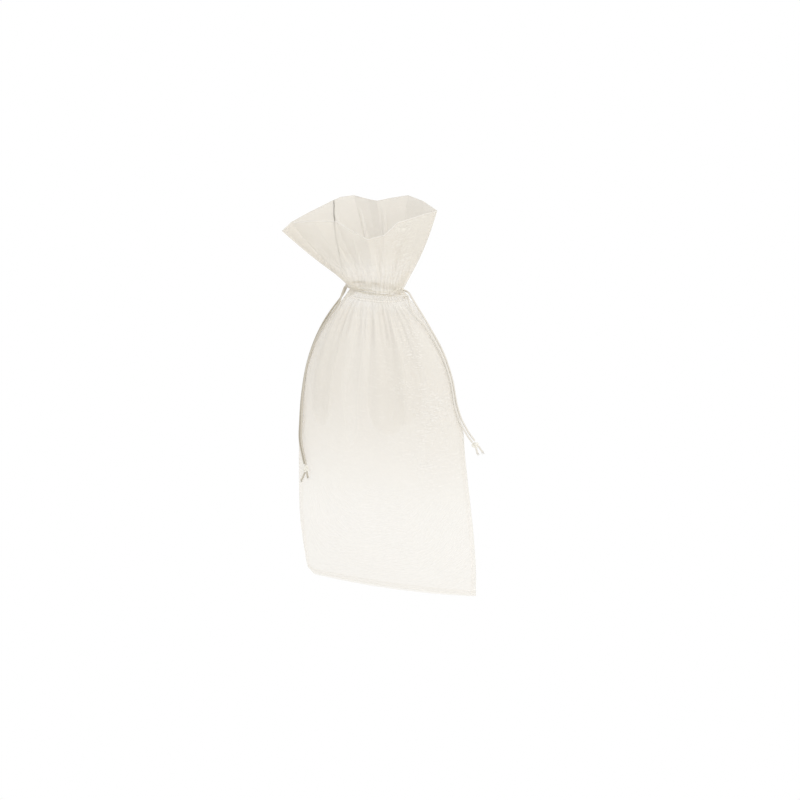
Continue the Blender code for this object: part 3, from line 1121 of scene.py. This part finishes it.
    def build_pressed_crease(self, levels: tuple, places: tuple) -> Piece:
        """A dark fine tube along a sharp crease on the lining, through (level, x) points: painted shadow of the
        fold.

        Args:
            levels: rising heights.
            places: its X at each of them.
        Returns:
            The piece.
        """
        rows = np.flatnonzero(self.levels >= levels[0])
        wanted = np.interp(self.levels[rows], levels, places)
        columns = np.abs(self.surface[rows, :, 0] - wanted[:, None]).argmin(axis=1)
        line = self.surface[rows, columns] - 0.00085 * self.outward[rows, columns]
        tube = tube_arrays(evenly(soft_curve(line, 0.03), 60), CREASE_SHADOW_RADIUS * np.linspace(0.45, 1.0, 60), 6)
        return settle(make_mesh(self.name("pressed_crease"), *tube), CREASE_SHADOW_FINISH, "organza")

    def build_stitches(self, row: str, level: float) -> Piece:
        """A row of running stitches through the gathers, on the cloth's outside.

        Args:
            row: upper or lower.
            level: the row's height.
        Returns:
            The piece.
        """
        at = self.row_at(level)
        node = f"{row}_stitches_{self.side.name.lower()}"
        return stitch_line(node, self.surface[at] + THREAD_LIFT * self.normal[at], 0.0024, node)

    def build(self) -> list[Piece]:
        """The outer layer, bottom seam to rim, the facing, the rim's fold and both rows of stitches."""
        rows = np.arange(len(self.levels))
        return [
            self.build_layer("cloth", self.surface, rows, PANEL_FINISH, "panel"),
            self.build_facing(),
            self.build_rim_fold(),
            self.build_stitches("upper", 0.0052),
            self.build_stitches("lower", -0.0052),
        ]


def stitch_line(name: str, line: Array, pitch: float, *nodes: str) -> Piece:
    """Running stitches along a line: short threads that dip at both ends, with gaps between them.

    Args:
        name: the piece's name, less its last word.
        line: (n, 3) points that the stitches follow.
        pitch: length of a stitch and its gap.
        nodes: the CAD nodes that it replaces.
    Returns:
        The piece.
    """
    along = lengths_along(line)
    count = max(2, int(along[-1] / pitch))
    parts = []
    for k in range(count):
        at = (k + np.linspace(0.10, 0.82, 5)) * along[-1] / count
        path = np.column_stack([np.interp(at, along, line[:, axis]) for axis in range(3)])
        parts.append(tube_arrays(path, THREAD_RADIUS * np.array((0.5, 1, 1, 1, 0.5)), 5))
    return settle(make_mesh(name + "_thread", *join_arrays(parts)), THREAD_FINISH, "thread", *nodes)


@dataclass
class Seams:
    """The turned-in allowances of the side and bottom seams, with their lines of stitches."""

    front: ClothPanel
    back: ClothPanel
    allowance: float = 0.0042
    rows: int = 7
    stitch: float = 0.0026

    def ribbon(self, name: str, edge: Array, inner: Array, node: str) -> Piece:
        """A strip of doubled cloth between two lines, with a light wave in its free edge.

        Args:
            name: the piece's name.
            edge: (n, 3) points of the seam.
            inner: (n, 3) points of its free edge.
            node: the CAD node that it replaces.
        Returns:
            The piece.
        """
        share = np.linspace(0.0, 1.0, self.rows)[:, None]
        along = lengths_along(edge)
        grid = edge[None] * (1 - share[..., None]) + inner[None] * share[..., None]
        grid[..., 1] += 0.0001 * np.sin(along / 0.0043) * share
        uv = np.stack(np.broadcast_arrays(along[None, :], share * self.allowance), axis=-1)
        made = make_mesh(name, grid.reshape(-1, 3), [grid_faces(self.rows, len(edge))], uv.reshape(-1, 2))
        return settle(made, SEAM_FINISH, "seam", node)

    def side(self, hand: Hand) -> list[Piece]:
        """One side's allowance below the channel and above it, with its stitches.

        Args:
            hand: left or right.
        Returns:
            Two allowances and two lines of stitches.
        """
        word = hand.name.lower()
        column, within = (0, 8) if hand is Hand.LEFT else (-1, -9)
        made = []
        for part, low, high in (("side_seam", BOTTOM_LEVEL + 0.002, -0.006), ("ruffle_seam", 0.006, RIM_LEVEL)):
            rows = np.flatnonzero((self.front.levels >= low) & (self.front.levels <= high))
            edge = evenly(self.front.surface[rows, column], 260)
            other = evenly(0.5 * (self.front.surface[rows, within] + self.back.surface[rows, within]), 260)
            towards = other - edge
            towards /= np.maximum(np.linalg.norm(towards, axis=1, keepdims=True), 1e-9)
            inner = edge + self.allowance * towards
            node = f"{word}_{part}"
            made.append(self.ribbon(node + "_allowance", edge, inner, node))
            line = edge + 0.9 * self.allowance * towards
            made.append(stitch_line(node + "_stitches", line, self.stitch))
        return made

    def bottom(self) -> list[Piece]:
        """The bottom seam's allowance, turned up inside the pouch, with its stitches."""
        edge = self.front.surface[0]
        rows = self.front.row_at(BOTTOM_LEVEL + 0.0065)
        inner = 0.5 * (self.front.surface[rows] + self.back.surface[rows])
        made = [self.ribbon("bottom_seam_allowance", evenly(edge, 220), evenly(inner, 220), "bottom_seam")]
        row = self.front.row_at(BOTTOM_LEVEL + 0.0036)
        for panel in (self.front, self.back):
            line = panel.surface[row] + 0.0002 * panel.normal[row]
            made.append(stitch_line(panel.name("bottom_stitches"), line, self.stitch))
        return made


# ---------------------------------------------------------------- cords


@dataclass
class Drawstring:
    """One satin cord: its loop in the channel, two strands that hang from the mouth, a knot and two tails.

    The routes follow those of the frame's own cord solids, in metres, from inside the channel to the knot.
    """

    hand: Hand
    front_route: Array
    back_route: Array
    knot_at: tuple[float, float, float]
    knot_turn: float
    tails: tuple
    strand_lengths: tuple[float, float]
    level: float
    # Finishes of the front strand, and of the back strand and tails; darker copies of the satin here are
    # painted shade.
    front_finish: CordFinish
    finish: CordFinish
    diameter: float = 0.0016
    tuck_x: float = 0.0120
    strands: int = 5
    twist_pitch: float = 0.009
    fibres: int = 26
    fibre_radius: float = 0.00007
    pivot_x: float = 0.025
    bend: tuple[float, float] = (0.008, -0.012)

    @property
    def word(self) -> str:
        """left or right."""
        return self.hand.name.lower()

    def cord(self, path: Array, radius: Array) -> tuple[Array, list[Array], Array]:
        """A stretch of the twisted cord, with its ridges."""
        return tube_arrays(path, radius, 14, self.strands, self.twist_pitch, 0.015)

    def build_loop(self, envelope: Envelope) -> Piece:
        """The cord inside the channel, all round the neck from one tuck to the other.

        Args:
            envelope: the outline, which gives the neck's curves.
        Returns:
            The piece.
        """
        front, back = envelope.neck_curve(Side.FRONT), envelope.neck_curve(Side.BACK)
        ring = np.vstack((front, back[::-1][1:-1]))
        middle = ring.mean(axis=0)
        inner = middle + (ring - middle) * np.array((0.86, 0.76, 1.0))
        far = self.hand.value * inner[:, 0] < self.tuck_x
        start = int(np.argmax(far & ~np.roll(far, 1)))
        path = np.roll(inner, -start, axis=0)[np.roll(far, -start)]
        path[:, 2] = self.level
        made = make_mesh(f"{self.word}_channel_cord", *self.cord(evenly(path, 150), 0.5 * self.diameter))
        return settle(made, PALE_CORD_HIGHLIGHT_FINISH, "cord", f"{self.word}_drawstring_loop")

    def build_strand(self, place: str, route: Array, finish: CordFinish) -> Piece:
        """One strand, from inside the channel down to the knot. It bends where it leaves the mouth.

        Args:
            place: front or back.
            route: its points.
            finish: its finish.
        Returns:
            The piece, not attached to a body.
        """
        side, word = self.hand.value, self.word
        path = route_curve(route, 360)
        made = make_mesh(f"{word}_{place}_strand", *self.cord(path, 0.5 * self.diameter))
        settle(made, finish, "cord", f"{word}_strand_{place}", f"{word}_tuck_{place}", body=None)
        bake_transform(made)
        return made

    def build_knot(self) -> Piece:
        """An overhand knot drawn tight round both strands.

        Formula: the trefoil (sin t + 2 sin 2t, cos t - 2 cos 2t, -sin 3t), squeezed to the knot's size.
        """
        t = np.linspace(0.0, TURN, 181)
        curve = np.column_stack((np.sin(t) + 2 * np.sin(2 * t), np.cos(t) - 2 * np.cos(2 * t), -np.sin(3 * t)))
        curve *= np.array((0.00066, 0.00074, 0.0010))
        c, s = math.cos(self.knot_turn), math.sin(self.knot_turn)
        tilt = np.array(((c, 0, -s), (0, 1, 0), (s, 0, c)))
        upright = np.array(((1, 0, 0), (0, 0, 1), (0, -1, 0)))
        path = curve @ upright.T @ tilt.T + np.array(self.knot_at)
        tube = tube_arrays(path, 0.00104, 16, self.strands, self.twist_pitch, 0.04)
        made = make_mesh(f"{self.word}_overhand_knot", *tube)
        return settle(made, PALE_CORD_HIGHLIGHT_FINISH, "cord", f"{self.word}_knot", body=f"{self.word}_cord")

    def build_tail(self, number: int, route: tuple) -> Piece:
        """A cut end below the knot, with its fibres opening into a small brush.

        Args:
            number: 1 or 2.
            route: its points below the knot.
        Returns:
            The piece.
        """
        rng = np.random.default_rng(40 + number + 7 * (self.hand is Hand.RIGHT))
        start = np.array(self.knot_at) * 0.35 + np.array(route[0]) * 0.65
        path = route_curve(np.vstack((start, route)), 36)
        radius = 0.5 * self.diameter * np.interp(np.linspace(0, 1, 36), (0, 0.75, 1), (0.95, 1.0, 1.12))
        parts = [self.cord(path, radius)]
        ahead = path[-1] - path[-4]
        ahead /= np.linalg.norm(ahead)
        share = np.linspace(0, 1, 5)[:, None]
        opening = np.linspace(0.3, 1, 5)[:, None]
        for _ in range(self.fibres):
            spread = rng.normal(0, 0.45, 3)
            root = path[-1] + 0.0007 * rng.uniform(-1, 1, 3) - 0.0006 * ahead
            reach = rng.uniform(0.0010, 0.0022)
            parts.append(tube_arrays(root + share * reach * (ahead + spread * opening), self.fibre_radius, 4))
        made = make_mesh(f"{self.word}_cut_tail_{number}", *join_arrays(parts))
        return settle(made, self.finish, "cord", f"{self.word}_tail_{number}", body=f"{self.word}_cord")

    def build(self, envelope: Envelope) -> list[Piece]:
        """Every piece of the cord."""
        ends = [self.build_knot()] + [self.build_tail(n, route) for n, route in enumerate(self.tails, start=1)]
        strands = [
            self.build_strand("front", self.front_route, self.front_finish),
            self.build_strand("back", self.back_route, self.finish),
        ]
        return [self.build_loop(envelope), *strands, *ends]


LEFT_CORD = Drawstring(
    hand=Hand.LEFT,
    front_route=np.array((
        (0.0, -0.0072, 0.0013), (-0.0060, -0.0073, 0.0013), (-0.0120, -0.0073, 0.0013),
        (-0.0200, -0.0060, 0.0013), (-0.0258, -0.0026, 0.0004),
        (-0.0276, -0.0048, -0.0045), (-0.0299, -0.0070, -0.0120),
        (-0.0380, -0.0068, -0.0250), (-0.0502, -0.0043, -0.0470), (-0.0592, -0.0035, -0.0730),
        (-0.0639, -0.0039, -0.1000), (-0.0645, -0.0082, -0.1260), (-0.0650, -0.0091, -0.1440),
        (-0.0628, -0.0099, -0.1575), (-0.0611, -0.0105, -0.1658),
    )),
    back_route=np.array((
        (0.0, 0.0072, 0.0013), (-0.0060, 0.0073, 0.0013), (-0.0120, 0.0073, 0.0013),
        (-0.0200, 0.0060, 0.0013), (-0.0258, 0.0026, 0.0004),
        (-0.0274, 0.0045, -0.0045), (-0.0318, 0.0050, -0.0130),
        (-0.0384, 0.0030, -0.0227), (-0.0445, 0.0013, -0.0327),
        (-0.0512, 0.0003, -0.0465), (-0.0601, -0.0001, -0.0725),
        (-0.0652, -0.0009, -0.0995), (-0.0669, -0.0050, -0.1265), (-0.0669, -0.0079, -0.1450),
        (-0.0646, -0.0089, -0.1580), (-0.0629, -0.0094, -0.1659),
    )),
    knot_at=(-0.0609, -0.0115, -0.1696),
    knot_turn=0.15,
    tails=(
        ((-0.0621, -0.0112, -0.1732), (-0.0638, -0.0108, -0.1780), (-0.0659, -0.0100, -0.1826)),
        ((-0.0601, -0.0118, -0.1733), (-0.0599, -0.0118, -0.1752), (-0.0595, -0.0117, -0.1772)),
    ),
    strand_lengths=(0.202, 0.203),
    level=0.0013,
    # Painted shade: half on the front strand, full on the back strand and tails.
    front_finish=CORD_PAINTED_HALF_SHADE_FINISH,
    finish=CORD_PAINTED_SHADE_FINISH,
)
RIGHT_CORD = Drawstring(
    hand=Hand.RIGHT,
    front_route=np.array((
        (0.0, -0.0072, -0.0013), (0.0060, -0.0073, -0.0013), (0.0120, -0.0073, -0.0013),
        (0.0200, -0.0060, -0.0013), (0.0258, -0.0026, -0.0020),
        (0.0277, -0.0050, -0.0065), (0.0308, -0.0070, -0.0130),
        (0.0401, -0.0054, -0.0245), (0.0528, -0.0038, -0.0468), (0.0622, -0.0031, -0.0734),
        (0.0667, -0.0034, -0.0985), (0.0699, -0.0036, -0.1083), (0.0746, -0.0030, -0.1184),
        (0.0792, -0.0018, -0.1269), (0.0810, -0.0015, -0.1294),
    )),
    back_route=np.array((
        (0.0, 0.0072, -0.0013), (0.0060, 0.0073, -0.0013), (0.0120, 0.0073, -0.0013),
        (0.0200, 0.0060, -0.0013), (0.0258, 0.0026, -0.0020),
        (0.0276, 0.0044, -0.0065), (0.0316, 0.0048, -0.0135),
        (0.0387, 0.0026, -0.0230), (0.0453, 0.0008, -0.0327), (0.0534, -0.0005, -0.0462),
        (0.0628, -0.0005, -0.0728),
        (0.0677, -0.0007, -0.0975), (0.0708, -0.0014, -0.1070), (0.0754, -0.0011, -0.1168),
        (0.0802, 0.0000, -0.1252), (0.0826, 0.0006, -0.1287),
    )),
    knot_at=(0.0836, -0.0008, -0.1323),
    knot_turn=-0.7,
    tails=(
        ((0.0846, -0.0011, -0.1360), (0.0852, -0.0013, -0.1377), (0.0857, -0.0014, -0.1396)),
        ((0.0863, 0.0003, -0.1340), (0.0878, 0.0004, -0.1362), (0.0896, 0.0004, -0.1386)),
    ),
    strand_lengths=(0.167, 0.168),
    level=-0.0013,
    front_finish=CORD_FINISH,
    finish=CORD_FINISH,
)


# ---------------------------------------------------------------- studio


@dataclass
class Studio:
    """A plain pale floor, soft studio light and the camera."""

    floor_level: float = -0.2845
    floor_half: float = 6.0
    elevation: float = math.radians(28.0)
    azimuth: float = math.radians(14.0)
    distance: float = 1.35
    focal: float = 73.0
    dim: float = 0.80
    bright: float = 0.96

    def camera(self) -> None:
        """A camera in front and a little to the right, looking down at the middle of the pouch."""
        right = Vector((math.cos(self.azimuth), math.sin(self.azimuth), 0.0))
        target = Vector((0.0, 0.0, -0.101)) + 0.0184 * right
        level, up = math.cos(self.elevation), math.sin(self.elevation)
        away = Vector((math.sin(self.azimuth) * level, -math.cos(self.azimuth) * level, up))
        data = bpy.data.cameras.new("camera")
        data.lens = self.focal
        data.sensor_width = 36.0
        made = linked(bpy.data.objects.new("camera", data))
        made.location = target + self.distance * away
        made.rotation_euler = (-away).to_track_quat("-Z", "Y").to_euler()
        bpy.context.scene.camera = made

    def floor(self) -> None:
        """A wide white table. It is plain white to the camera, so that it joins the white surroundings."""
        corners = self.floor_half * np.array(((-1, -1), (1, -1), (1, 1), (-1, 1)))
        points = np.column_stack((corners, np.full(4, self.floor_level)))
        made = make_mesh("floor", points, [np.array([[0, 1, 2, 3]])], corners)
        material, tree = new_material("white_table")
        dress(tree, {"Roughness": 0.9, "Base Color": (0.94, 0.94, 0.94, 1.0), "Specular IOR Level": 0.1})
        seen = add_node(tree, "LightPath").outputs["Is Camera Ray"]
        lit = tree.nodes["Principled BSDF"].outputs[0]
        glow = add_node(tree, "Emission").outputs[0]
        either = add_node(tree, "MixShader", {0: seen, 1: lit, 2: glow}).outputs[0]
        feed(tree, tree.nodes["Material Output"].inputs["Surface"], either)
        made.data.materials.append(material)

    def lamp(self, name: str, place: tuple, aim: tuple, size: float, power: float, colour: tuple) -> None:
        """A square soft light at a place, aimed at a point.

        Args:
            name: the light's name.
            place, aim: where it is and what it points at.
            size: length of its side.
            power: in watts.
            colour: red, green and blue.
        """
        data = bpy.data.lights.new(name, "AREA")
        data.size, data.energy, data.color = size, power, colour
        made = linked(bpy.data.objects.new(name, data))
        made.location = place
        made.rotation_euler = (Vector(aim) - Vector(place)).to_track_quat("-Z", "Y").to_euler()

    def surroundings(self) -> None:
        """White to the camera, while their light grows from the left side to the right.

        Formula: strength = dim + (bright - dim) * (0.5 + 0.5 * direction X).
        """
        world = bpy.data.worlds.new("studio")
        bpy.context.scene.world = world
        world.use_nodes = True
        tree = world.node_tree
        direction = add_node(tree, "TexCoord").outputs["Generated"]
        side = add_node(tree, "SeparateXYZ", {0: direction}).outputs["X"]
        light = ranged(tree, side, self.dim, self.bright, start=-1.0)
        seen = add_node(tree, "LightPath").outputs["Is Camera Ray"]
        background = tree.nodes["Background"].inputs
        feed(tree, background["Color"], (1.0, 1.0, 1.0, 1.0))
        strength = add_node(tree, "Mix", {"Factor": seen, "A": light, "B": 1.0}).outputs["Result"]
        feed(tree, background["Strength"], strength)

    def build(self) -> None:
        """Camera, floor, a broad light from above and a key from the upper right.

        The tone is plain, and rays pass enough layers for the many sheer folds.
        """
        self.camera()
        self.floor()
        self.surroundings()
        self.lamp("overhead", (0.1, 0.1, 1.6), (0.0, 0.0, -0.2), 2.0, 4.0, (1.0, 1.0, 1.0))
        self.lamp("key", (1.2, -1.1, 0.8), (0.0, 0.0, -0.08), 0.8, 5.0, (1.0, 0.99, 0.97))
        scene = bpy.context.scene
        scene.view_settings.view_transform = "Standard"
        scene.cycles.transparent_max_bounces = 48


# ---------------------------------------------------------------- the pouch


FRONT_FOLDS = [
    Fold(0.06, 0.008, 0.03, 0.022, 1), Fold(0.14, 0.011, 0.13, 0.03, -1), Fold(0.22, 0.009, 0.055, 0.024, 1),
    Fold(0.3, 0.011, 0.04, 0.045, -1), Fold(0.37, 0.012, 0.14, 0.038, 1), Fold(0.45, 0.009, 0.05, 0.056, -1),
    Fold(0.53, 0.012, 0.128, 0.034, -1), Fold(0.61, 0.01, 0.045, 0.06, 1), Fold(0.69, 0.011, 0.136, 0.028, -1),
    Fold(0.77, 0.009, 0.06, 0.052, 1), Fold(0.85, 0.01, 0.042, 0.03, -1), Fold(0.93, 0.008, 0.028, 0.018, 1),
]
# Denser stretches, darkened as painted shade; the one with a negative weight is lighter.
FRONT_LOBES = [
    Lobe(0.185, 0.07, 0.126, 0.32), Lobe(0.375, 0.04, 0.136, -0.12), Lobe(0.575, 0.125, 0.124, 0.34),
    Lobe(0.86, 0.05, 0.085, 0.1),
]
BACK_LOBES = [Lobe(0.17, 0.09, 0.125, 0.12), Lobe(0.58, 0.15, 0.135, 0.14)]
# Places where the fine creases show most, as bumps and as a painted highlight.
FRONT_CRUSHED = [
    (0.8, -0.07, 0.13, 0.05, 0.85), (0.86, -0.15, 0.12, 0.05, 0.45), (0.79, 0.04, 0.09, 0.03, 1.0),
]
BACK_CRUSHED = [(0.6, -0.1, 0.25, 0.07, 0.25)]
BACK_FOLDS = [
    Fold(0.07, 0.009, 0.034, 0.026, -1), Fold(0.15, 0.01, 0.06, 0.052, 1), Fold(0.235, 0.011, 0.12, 0.035, -1),
    Fold(0.32, 0.01, 0.048, 0.06, 1), Fold(0.4, 0.011, 0.135, 0.04, -1), Fold(0.48, 0.01, 0.055, 0.058, 1),
    Fold(0.56, 0.011, 0.11, 0.036, -1), Fold(0.645, 0.01, 0.05, 0.062, 1), Fold(0.73, 0.011, 0.14, 0.032, -1),
    Fold(0.815, 0.01, 0.058, 0.05, 1), Fold(0.9, 0.009, 0.036, 0.024, -1),
]


def main() -> None:
    """Builds the studio, the cords and the cloth in order, and notes the sizes."""
    logging.basicConfig(level=logging.INFO, format="%(message)s")
    Studio().build()
    envelope = Envelope()
    pieces = [piece for cord in (LEFT_CORD, RIGHT_CORD) for piece in cord.build(envelope)]
    front = ClothPanel(
        envelope, Side.FRONT, Gathers(22, FRONT_FOLDS, FRONT_LOBES, FRONT_CRUSHED, 1.0, 0.07, 11),
        [
            Creases(3, 34, (0.118, -0.105), (0.030, 0.060), 0.00040),
            Creases(5, 16, (0.070, -0.120), (0.060, 0.110), 0.00022),
        ],
    )
    back = ClothPanel(
        envelope, Side.BACK, Gathers(21, BACK_FOLDS, BACK_LOBES, BACK_CRUSHED, 1.25, 0.56, 23),
        [Creases(8, 30, (0.075, -0.110), (0.065, 0.120), 0.00028)],
    )
    pieces += front.build() + back.build()
    # A dark line on the back lining: painted shadow of a sharp crease.
    pieces.append(back.build_pressed_crease((0.012, 0.047, RIM_LEVEL), (-0.0295, -0.0372, -0.0390)))
    seams = Seams(front, back)
    pieces += seams.side(Hand.LEFT) + seams.side(Hand.RIGHT) + seams.bottom()
    for piece in pieces:
        LOG.info("%s: %d faces", piece.name, len(piece.data.polygons))


if __name__ == "__main__":
    main()
